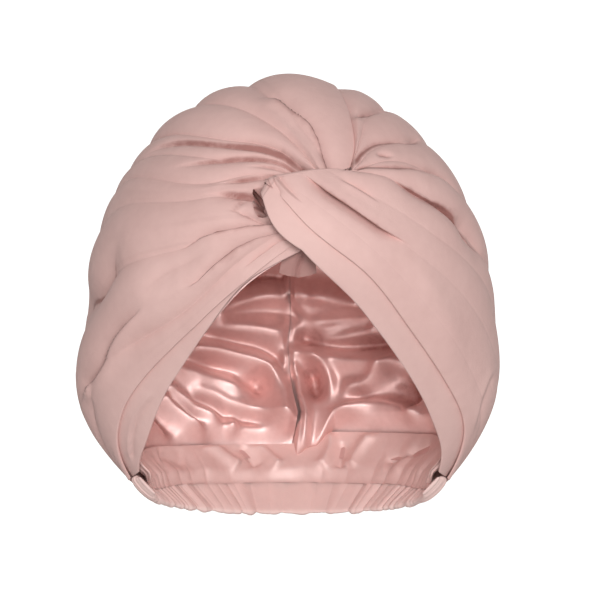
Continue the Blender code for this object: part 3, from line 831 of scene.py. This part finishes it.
left_band = make_band("left", LEFT_PLEATS, LEFT_FREE_EDGE, LEFT_BAND_FOLDS)
right_band = make_band("right", RIGHT_PLEATS, RIGHT_FREE_EDGE, RIGHT_BAND_FOLDS)


# %% [markdown]
# ## The satin lining
# The lining hangs in puffs and soft folds on each side of its middle seam. Its fold lines are seen
# through the opening, on the wall behind the head, and both halves read them all, so that they meet
# at the seam at the same height. The satin never rises past the place where it would meet the wraps.

# %% Fold lines of the lining
SATIN_FOLDS = {
    "hollow": (-10.0, -10.0, 6.0, 6.0, 3.0, 0, 0,
               ((246, 270), (262, 267), (280, 265))),
    "top_ridge": (6.0, 6.0, 5.0, 4.5, 1.5, 0, 0,
                  ((200, 311), (222, 303), (243, 295), (262, 291), (286, 292))),
    "top_step": (-1.5, -5.0, 2.0, 4.0, 0.6, 0.2, 0,
                 ((206, 312), (230, 309), (250, 309.5), (270, 309), (290, 311))),
    "band": (5.0, 5.0, 8.0, 7.0, 3.0, 0, 0,
             ((205, 325), (230, 325), (255, 328), (276, 333))),
    "overlap": (-3.0, -6.5, 2.2, 3.0, 0.6, 0, 0,
                ((184, 337), (197, 337), (210, 340), (227, 345), (242, 349), (256, 352.5),
                 (270, 358), (282, 367), (292, 380))),
    "great_puff": (8.5, 8.0, 5.0, 10.0, 2.5, 0, 0,
                   ((180, 350), (205, 352), (228, 357), (250, 362), (266, 371), (277, 385),
                    (281, 402), (281, 420), (281, 434))),
    "dish_rim": (2.2, 1.6, 2.5, 3.0, 1.0, 0.2, 0.2,
                 ((260, 367), (269, 378), (269, 392), (261, 409))),
    "dark_valley": (-6.5, -6.0, 3.5, 5.0, 1.5, 0.1, 0.5,
                    ((158, 358), (185, 366), (203, 372), (222, 376), (242, 371))),
    "dish": (-5.5, -5.5, 8.0, 9.0, 4.0, 0.3, 0.3,
             ((252, 374), (256, 388), (250, 405))),
    "second_puff": (6.5, 6.0, 5.0, 9.0, 2.0, 0, 0.3,
                    ((160, 372), (190, 381), (212, 388), (232, 399), (250, 412))),
    "lip": (4.5, -6.5, 8.0, 4.0, 0.6, 0.1, 0,
            ((172, 403), (188, 407), (203, 412), (217, 420), (234, 424), (252, 427),
             (266, 432), (278, 437), (290, 441))),
    "corner_ridge_high": (5.5, 4.5, 4.0, 4.0, 1.5, 0, 0.2,
                          ((150, 396), (163, 407), (178, 416), (196, 424), (215, 432))),
    "corner_crease": (-4.0, -3.5, 2.2, 3.0, 0.8, 0.1, 0.3,
                      ((148, 402), (163, 416), (178, 426), (198, 437))),
    "corner_ridge_low": (6.5, 5.5, 4.0, 4.0, 1.5, 0, 0,
                         ((146, 409), (160, 421), (175, 434), (188, 445), (198, 453))),
    "corner_dark": (-5.0, -5.0, 5.0, 5.0, 2.0, 0, 0.2,
                    ((144, 424), (156, 437), (168, 448))),
    "upright": (3.5, 3.5, 3.0, 3.0, 1.2, 0.2, 0.2,
                ((224, 426), (226, 437), (224, 448))),
    "bag": (9.0, 9.0, 8.0, 8.0, 3.0, 0, 0,
            ((302, 286), (320, 290), (345, 294), (378, 298))),
    "bag_dent": (-4.5, -4.5, 3.0, 4.0, 1.5, 0.2, 0.3,
                 ((305, 270), (312, 280), (317, 290))),
    "bag_edge": (4.0, -5.5, 6.0, 3.0, 0.6, 0, 0,
                 ((286, 268), (286, 284), (290, 297), (297, 309), (307, 316.5), (325, 317),
                  (341, 316), (357, 313.5), (376, 311))),
    "thin_ridge": (2.8, 2.6, 2.4, 2.4, 0.8, 0.1, 0.1,
                   ((296, 322), (312, 325), (328, 329), (345, 326), (360, 322), (382, 319))),
    "thin_valley": (-3.2, -3.2, 1.8, 2.2, 0.5, 0.15, 0.1,
                    ((300, 327), (314, 330), (330, 335), (343, 333), (358, 329), (384, 326))),
    "low_ridge": (3.6, 3.2, 2.4, 3.0, 1.0, 0.2, 0.1,
                  ((314, 338), (335, 340), (350, 337), (366, 333), (390, 330))),
    "dark_band": (-6.5, -6.5, 3.5, 4.5, 1.5, 0.05, 0,
                  ((297, 337), (310, 343), (327, 348), (350, 351), (372, 349), (400, 345))),
    "broad_ridge": (6.5, 6.0, 4.0, 9.0, 2.5, 0, 0,
                    ((318, 355), (335, 358), (358, 361), (382, 363), (410, 364))),
    "curl": (6.5, 4.5, 2.6, 3.5, 1.0, 0, 0.3,
             ((286, 374), (287, 363), (292, 356.5), (300, 354), (310, 355.5), (321, 361.5),
              (330, 373), (335, 388), (334, 402), (328, 416))),
    "curl_dish": (-6.0, -6.0, 7.0, 7.0, 4.0, 0.2, 0.2,
                  ((311, 366), (315, 386), (313, 410))),
    "seam_roll": (7.0, 5.0, 4.0, 4.0, 1.5, 0, 0,
                  ((294, 374), (298, 388), (299, 404), (302, 420), (306, 436), (308, 446))),
    "wave_ridge": (5.0, 5.0, 5.0, 4.0, 1.8, 0.2, 0.2,
                   ((345, 396), (360, 396), (378, 391), (391, 381), (400, 371), (408, 362))),
    "wave_valley": (-6.5, -6.5, 3.5, 4.5, 1.2, 0.2, 0.1,
                    ((348, 403), (366, 404), (383, 406), (400, 406), (416, 409), (434, 418))),
    "side_dark": (-5.0, -5.0, 6.0, 6.0, 3.0, 0.2, 0.2,
                  ((402, 372), (413, 384), (424, 398), (434, 414))),
    "floor_ridge": (7.5, 6.0, 4.0, 6.0, 2.0, 0, 0,
                    ((320, 434), (334, 430), (347, 425), (360, 418), (375, 411.5), (392, 409.5),
                     (408, 412), (428, 420))),
}

# %% The lining
SEEN_TURNS = 230
SEEN_END_TURN = 82
FRONT_TURNS = 50
CROWN_ROWS = 26
WALL_ROWS = 175
WALL_TOP = 0.47
SEAM_PINCH_REACH = 0.035
SATIN_FULLNESS = 1.8
SATIN_DEPTH = 0.008
EASING_ROUNDS = 20
SEAM_HEIGHTS = (0.15, 0.18, 0.225, 0.27, 0.32, 0.38, 0.45, 0.56)
SEAM_SHIFTS = (1.5, 3.5, 5.5, 2.5, 0.0, -1.0, 0.6, 0.0)
SEAM_REACH = 0.012
HANG_REACH = 0.011
HANG = 0.019
HANG_PUFF = 0.006
LEFT_FACING_TOP = 0.62
RIGHT_FACING_TOP = 0.96


def facing_top(turn):
    """How much of the facing's height shows at this turn, as it is sewn higher on the right."""
    return LEFT_FACING_TOP + (RIGHT_FACING_TOP - LEFT_FACING_TOP) * smooth(turn / 9)


def rim_slopes(sign, pleats, free_edge, turns):
    """The slope to the lining's rim at each turn from the back. At the front it is under the band."""
    band_line = np.array(list(pleats.values())[0][:LINE_COLUMNS])
    line, _ = ray(np.array(free_edge) + 0.35 * (band_line - free_edge))
    azimuth = np.degrees(np.arctan2(sign * line[:, 0], line[:, 1]))
    slope = np.degrees(np.arcsin(line[:, 2]))
    front = azimuth > RIM_TURN
    order = np.argsort(azimuth[front])
    slopes = np.interp(turns, azimuth[front][order], slope[front][order])
    for index in np.flatnonzero(turns < RIM_TURN):
        ending = nape_direction(sign * turns[index],
                                lambda y: above_casing(y) + 0.3 * facing_height(y))
        slopes[index] = math.degrees(math.asin(ending[2]))
    return slopes


def eased(heights):
    """Heights averaged many times with their neighbours, as satin doesn't hold a sharp crease."""
    for axis in (0, 1) * EASING_ROUNDS:
        pad = [(1, 1) if axis == i else (0, 0) for i in (0, 1)]
        wide = np.pad(heights, pad, mode="edge")
        low = np.take(wide, range(heights.shape[axis]), axis=axis)
        high = np.take(wide, range(2, heights.shape[axis] + 2), axis=axis)
        heights = 0.25 * low + 0.5 * heights + 0.25 * high
    return heights


def lining_directions(sign, pleats, free_edge, turns, down):
    """Directions of one half, a column for each turn from the back and a row for each step down."""
    slope = np.radians(90 + (rim_slopes(sign, pleats, free_edge, turns)[:, None] - 90) * down)
    turn = np.radians(turns)[:, None]
    return np.stack([sign * np.sin(turn) * np.cos(slope),
                     np.cos(turn) * np.cos(slope), np.sin(slope)], axis=-1)


def wander(points, sign, behind):
    """Moves a half sideways near its middle seam, which doesn't hang straight."""
    height = points[..., 2] - BASE
    shift = MILLIMETRE * np.interp(height / BONNET_HEIGHT, SEAM_HEIGHTS, SEAM_SHIFTS)
    shift = shift * np.exp(-np.abs(points[..., 0]) / SEAM_REACH) * behind
    points[..., 0] += shift + sign * LAYER_GAP / 4


def make_lining(side, pleats, free_edge, folds):
    sign = -1 if side == "left" else 1
    turns = np.concatenate([np.linspace(0, SEEN_END_TURN, SEEN_TURNS),
                            np.linspace(SEEN_END_TURN, 180, FRONT_TURNS)[1:]])
    down = np.concatenate([np.linspace(0, WALL_TOP, CROWN_ROWS)[:-1],
                           np.linspace(WALL_TOP, 1, WALL_ROWS)])
    directions = lining_directions(sign, pleats, free_edge, turns, down)
    points = on_form(directions)
    y = points[..., 1]
    above_seam = points[..., 2] - above_casing(y) - facing_height(y) * facing_top(sign * turns)[:, None]
    settled = np.where(turns[:, None] < RIM_TURN, smooth(above_seam / 0.012 + 0.1),
                       smooth((1 - down) / 0.08))
    twist = on_form(front_direction(0.10, 0.50))
    near_twist = np.exp(-(np.linalg.norm(points - twist, axis=-1) / (0.49 * HALF_WIDTH)) ** 2)
    room = LINING_ROOM * settled * (1 - near_twist) + TWIST_ROOM * near_twist
    at_seam = smooth(np.abs(directions[..., 0]) / SEAM_PINCH_REACH)
    behind = smooth(directions[..., 1] / 0.25)
    share = (0.6 + 0.4 * at_seam) * behind * settled
    heights = eased(fold_moves(directions, folds, behind=True)[0]) * share
    # Shade painted into the satin's valleys, full where they sink SATIN_DEPTH deep.
    creases = np.clip(-heights / SATIN_DEPTH, 0, 1)
    lifts = SATIN_LIFT - room * (0.85 + 0.15 * at_seam) - SATIN_FULLNESS * heights
    lifts = np.minimum(lifts, SATIN_LIFT)
    loop = np.sin(math.pi * np.clip(above_seam / HANG_REACH, 0, 1))
    if side == "right":
        loop = loop * (smooth(turns / 2) * smooth((17 - turns) / 8))[:, None]
        lifts = lifts - HANG_PUFF * loop
    points = on_form(directions, lifts)
    if side == "right":
        points[..., 2] -= HANG * loop
    wander(points, sign, behind)
    return cloth(f"{side}_satin", points, SATIN, f"{side}_lining", side == "left",
                 creases)


left_satin = make_lining("left", LEFT_PLEATS, LEFT_FREE_EDGE, SATIN_FOLDS)
right_satin = make_lining("right", RIGHT_PLEATS, RIGHT_FREE_EDGE, SATIN_FOLDS)


# %% [markdown]
# ## The nape
# A plain strip covers the lining's lower edge, and darts run up it from the elastic. The elastic
# runs in a channel of cloth that it draws into narrow gathers.

# %% The nape
FACING_TURN = 112
FACING_COLUMNS = 380
FACING_ROWS = 26
CASING_COLUMNS = 900
CASING_ROUND = 34
CASING_GATHERS = 30
FINE_GATHERS = 66
CASING_DROP = 0.0045
CASING_SWELL = 0.0006
CASING_END = 12.0
END_CROWDING = 1.6
FACING_OVERLAP = 0.0070


def uneven(turns, waves, seed):
    """A count of waves along the nape, stretched here and there so that no two are alike."""
    chance = np.random.default_rng(seed)
    phases = chance.uniform(0, 2 * math.pi, 4)
    sway = sum(amount * np.sin(rate * np.radians(turns) + phase)
               for amount, rate, phase in zip((1.3, 0.9, 0.6, 0.4), (3, 7, 13, 23), phases))
    share = turns / CASING_TURN
    return waves * math.pi * (share + END_CROWDING * share**3) / (1 + END_CROWDING) + sway


def gather(phase):
    """Rounded between its creases, which are sharp: 0 in a crease and 1 on top."""
    return np.abs(np.sin(phase / 2)) ** 0.7


FACING_FOLDS = {
    "left_pocket": (-3.5, -3.5, 6.0, 6.0, 3.0, 0.20, 0.20,
                    ((148, 462), (163, 467), (180, 473))),
    "left_ridge": (4.5, 4.0, 5.0, 6.0, 2.0, 0.05, 0.05,
                   ((200, 450), (211, 458), (223, 467), (236, 475))),
    "middle_valley": (-3.5, -3.5, 3.0, 3.0, 1.0, 0.10, 0.10,
                      ((236, 452), (245, 463), (255, 475))),
    "middle_ridge": (4.0, 3.5, 4.0, 4.0, 1.5, 0.05, 0.05,
                     ((250, 449), (260, 458), (270, 468), (279, 476))),
    "seam_ridge": (4.0, 3.5, 4.0, 4.0, 1.5, 0.05, 0.05,
                   ((330, 436), (334, 450), (330, 464), (322, 476))),
    "seam_valley": (-3.5, -3.0, 3.0, 3.0, 1.0, 0.20, 0.05,
                    ((346, 448), (343, 462), (342, 476))),
    "right_ridge": (4.5, 3.5, 5.0, 5.0, 2.0, 0.05, 0.05,
                    ((380, 436), (370, 448), (361, 460), (353, 475))),
    "right_crease": (-4.0, -2.5, 3.0, 4.0, 0.8, 0.10, 0.10,
                     ((390, 470), (408, 465), (424, 460), (440, 452))),
}


def strip(turns, height_at):
    """Directions along the nape, one for each turn, in which the form has the height wanted."""
    return np.array([[nape_direction(turn, height_at)] for turn in turns])


def make_facing():
    """The strip over the lining's edge. Its lower edge runs out to the casing that it is sewn to."""
    turns = np.linspace(-FACING_TURN, FACING_TURN, FACING_COLUMNS)
    up = np.linspace(0, 1, FACING_ROWS)[None]
    low = strip(turns, lambda y: casing_top(y) - FACING_OVERLAP)
    high = np.array([[nape_direction(turn, lambda y: above_casing(y)
                                     + facing_top(turn) * facing_height(y))] for turn in turns])
    directions = unit(low + (high - low) * up[..., None])
    darts = gather(uneven(turns, waves=40, seed=5))[:, None] * 2.4 * np.exp(-up / 0.35)
    broad = np.sin(uneven(turns, waves=13, seed=8))[:, None] * 1.2 * np.sin(math.pi * up)
    folds = fold_moves(directions, FACING_FOLDS, behind=True)[0]
    heights = (MILLIMETRE * (darts + broad) + folds) * (0.25 + 0.75 * smooth(up / 0.3))
    sewn_in = (FACING_LIFT - OUTER_CLOTH + CASING_THICKNESS + MILLIMETRE) * (1 - smooth(up / 0.35))
    lifts = (FACING_LIFT - OUTER_CLOTH) - sewn_in - heights * smooth((1 - up) / 0.12)
    points = on_form(directions, lifts)
    return cloth("nape_strip", points, NAPE_SATIN, "nape_facing", True)


def make_casing():
    """A flat tube of cloth, drawn up by the elastic in it into gathers that are not alike."""
    turns = np.linspace(-CASING_TURN, CASING_TURN, CASING_COLUMNS)
    round_it = np.linspace(0, 2 * math.pi, CASING_ROUND)
    low = strip(turns, lambda y: casing_base(y) - CASING_DROP)
    high = strip(turns, casing_top)
    up = (0.5 - 0.5 * np.cos(round_it))[None]
    ending = np.sqrt(np.clip((CASING_TURN - np.abs(turns)) / CASING_END, 0, 1))[:, None]
    leaning = 0.9 * (up - 0.5) * np.sin(uneven(turns, waves=9, seed=4))[:, None]
    coarse = gather(uneven(turns, CASING_GATHERS, seed=3)[:, None] + leaning)
    fine = gather(uneven(turns, FINE_GATHERS, seed=6)[:, None] + 2 * leaning)
    strength = 0.75 + 0.25 * np.sin(uneven(turns, waves=17, seed=7))[:, None]
    relief = strength * (0.75 * coarse + 0.25 * fine)
    ruffle = 0.09 * (relief - 0.5) * np.abs(2 * up - 1)
    place = 0.5 + (up - 0.5 + np.where(up < 0.5, -ruffle, ruffle)) * (0.6 + 0.4 * ending)
    directions = unit(low + (high - low) * place[..., None])
    outwards = np.sin(round_it)[None]
    gathered = 0.55 * CASING_THICKNESS * relief * ending
    thick = (0.20 * CASING_THICKNESS + CASING_SWELL) * ending + gathered
    lifts = -CASING_THICKNESS / 2 + np.abs(outwards) ** 0.6 * np.sign(outwards) * thick
    points = on_form(directions, lifts)
    return cloth("shirred_casing", points, SHIRRED_KNIT_LIGHTENED, "elastic_casing")


facing = make_facing()
casing = make_casing()


# %% [markdown]
# ## The tuck
# A small end of cloth shows behind the place where the two bands meet. Its colour is darkened
# with painted shade, for the shadow that it lies in there.

# %% The tuck
TUCK_TOP = (0.06, 0.33)
TUCK_BOTTOM = (0.05, 0.225)
TUCK_HALF_WIDTHS = (0.08, 0.10)
TUCK_DIP = 0.018
TUCK_LEAN = 0.0030
TUCK_ROWS = 40
TUCK_COLUMNS = 50
TUCK_FOLDS = {
    "seam": (-1.6, 1.0, 2.0, 2.5, 0.4, 0, 0,
             ((304, 250), (299, 260), (297, 272))),
}


def make_tuck():
    top, bottom = np.array(TUCK_TOP), np.array(TUCK_BOTTOM)
    downs = np.linspace(0, 1, TUCK_ROWS)
    widths = TUCK_HALF_WIDTHS[0] + (TUCK_HALF_WIDTHS[1] - TUCK_HALF_WIDTHS[0]) * downs
    directions = np.array([[front_direction(*(top + (bottom - top) * down
                                              + (side * width, -TUCK_DIP * down * (1 - side**2))))
                            for down, width in zip(downs, widths)]
                           for side in np.linspace(-1, 1, TUCK_COLUMNS)])
    lifts = LINING_LIFT - TWIST_SINK - TUCK_CLOTH - TUCK_LEAN * np.tile(downs, (TUCK_COLUMNS, 1))
    heights, slides, creases = fold_moves(directions, TUCK_FOLDS)
    points = on_form(directions, lifts + heights) + slides
    return cloth("tucked_end", points, TUCK_SHADED_KNIT, "apex_tuck", True, creases)


tuck = make_tuck()


# %% [markdown]
# ## Floor, light and camera
# A pale floor runs up into a pale wall. Most of the light comes from a wide soft lamp in front, as
# the photograph's does, so that the top of the bonnet is a little greyer than its front. The floor
# glows by itself and is kept from throwing its light back, which would wash out the folds above it.

# %% Floor, light and camera
FLOOR_DROP = 0.0008
FLOOR_FRONT = -20.0
FLOOR_SIDE = 20.0
WALL_PLACE = 4.0
WALL_BEND = 0.8
KEY_LAMP_PLACE = (0.14, -2.1, 0.14)
MIDDLE_PLACE = (0, 0, -0.11)


def make_backdrop():
    """A floor that curves up into a wall behind the bonnet."""
    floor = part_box("elastic_casing")[0][2] - CASING_DROP - FLOOR_DROP
    bend = [(WALL_PLACE - WALL_BEND * (1 - math.sin(turn)), floor + WALL_BEND * (1 - math.cos(turn)))
            for turn in np.linspace(0, math.pi / 2, 16)]
    profile = [(FLOOR_FRONT, floor), (-1.0, floor)] + bend + [(WALL_PLACE, floor + WALL_PLACE)]
    points = [(side, y, z) for side in (-FLOOR_SIDE, FLOOR_SIDE) for y, z in profile]
    count = len(profile)
    faces = [(i, i + 1, i + 1 + count, i + count) for i in range(count - 1)]
    mesh = bpy.data.meshes.new("backdrop")
    mesh.from_pydata(points, [], faces)
    mesh.shade_smooth()
    material, _, _ = start_material("pale_paper", {
        "Base Color": (0.93, 0.93, 0.92, 1), "Roughness": 0.9,
        "Emission Color": (1.0, 1.0, 0.99, 1), "Emission Strength": 0.85})
    mesh.materials.append(material)
    backdrop = bpy.data.objects.new("backdrop", mesh)
    backdrop.visible_diffuse = False
    bpy.context.scene.collection.objects.link(backdrop)


def soft_lamp(name, place, target, size, power):
    """A square lamp that looks from its place towards a target."""
    light = bpy.data.lights.new(name, "AREA")
    light.size, light.energy = size, power
    lamp = bpy.data.objects.new(name, light)
    lamp.location = place
    towards = np.array(target) - np.array(place)
    sideways = math.atan2(towards[0], towards[1])
    upward = math.atan2(towards[2], math.hypot(*towards[:2]))
    lamp.rotation_euler = (math.pi / 2 + upward, 0, -sideways)
    bpy.context.scene.collection.objects.link(lamp)


make_backdrop()
soft_lamp("key_lamp", KEY_LAMP_PLACE, MIDDLE_PLACE, size=0.8, power=33)

world = bpy.data.worlds.new("studio")
world.use_nodes = True
world.node_tree.nodes["Background"].inputs["Color"].default_value = (1.0, 0.99, 0.98, 1)
world.node_tree.nodes["Background"].inputs["Strength"].default_value = 0.32
bpy.context.scene.world = world
bpy.context.scene.view_settings.view_transform = "Standard"

camera_data = bpy.data.cameras.new("camera")
camera_data.lens = 180
camera_data.sensor_width = 36
camera = bpy.data.objects.new("camera", camera_data)
camera.location = CAMERA_PLACE
camera.rotation_euler = (math.pi / 2, 0, 0)
bpy.context.scene.collection.objects.link(camera)
bpy.context.scene.camera = camera
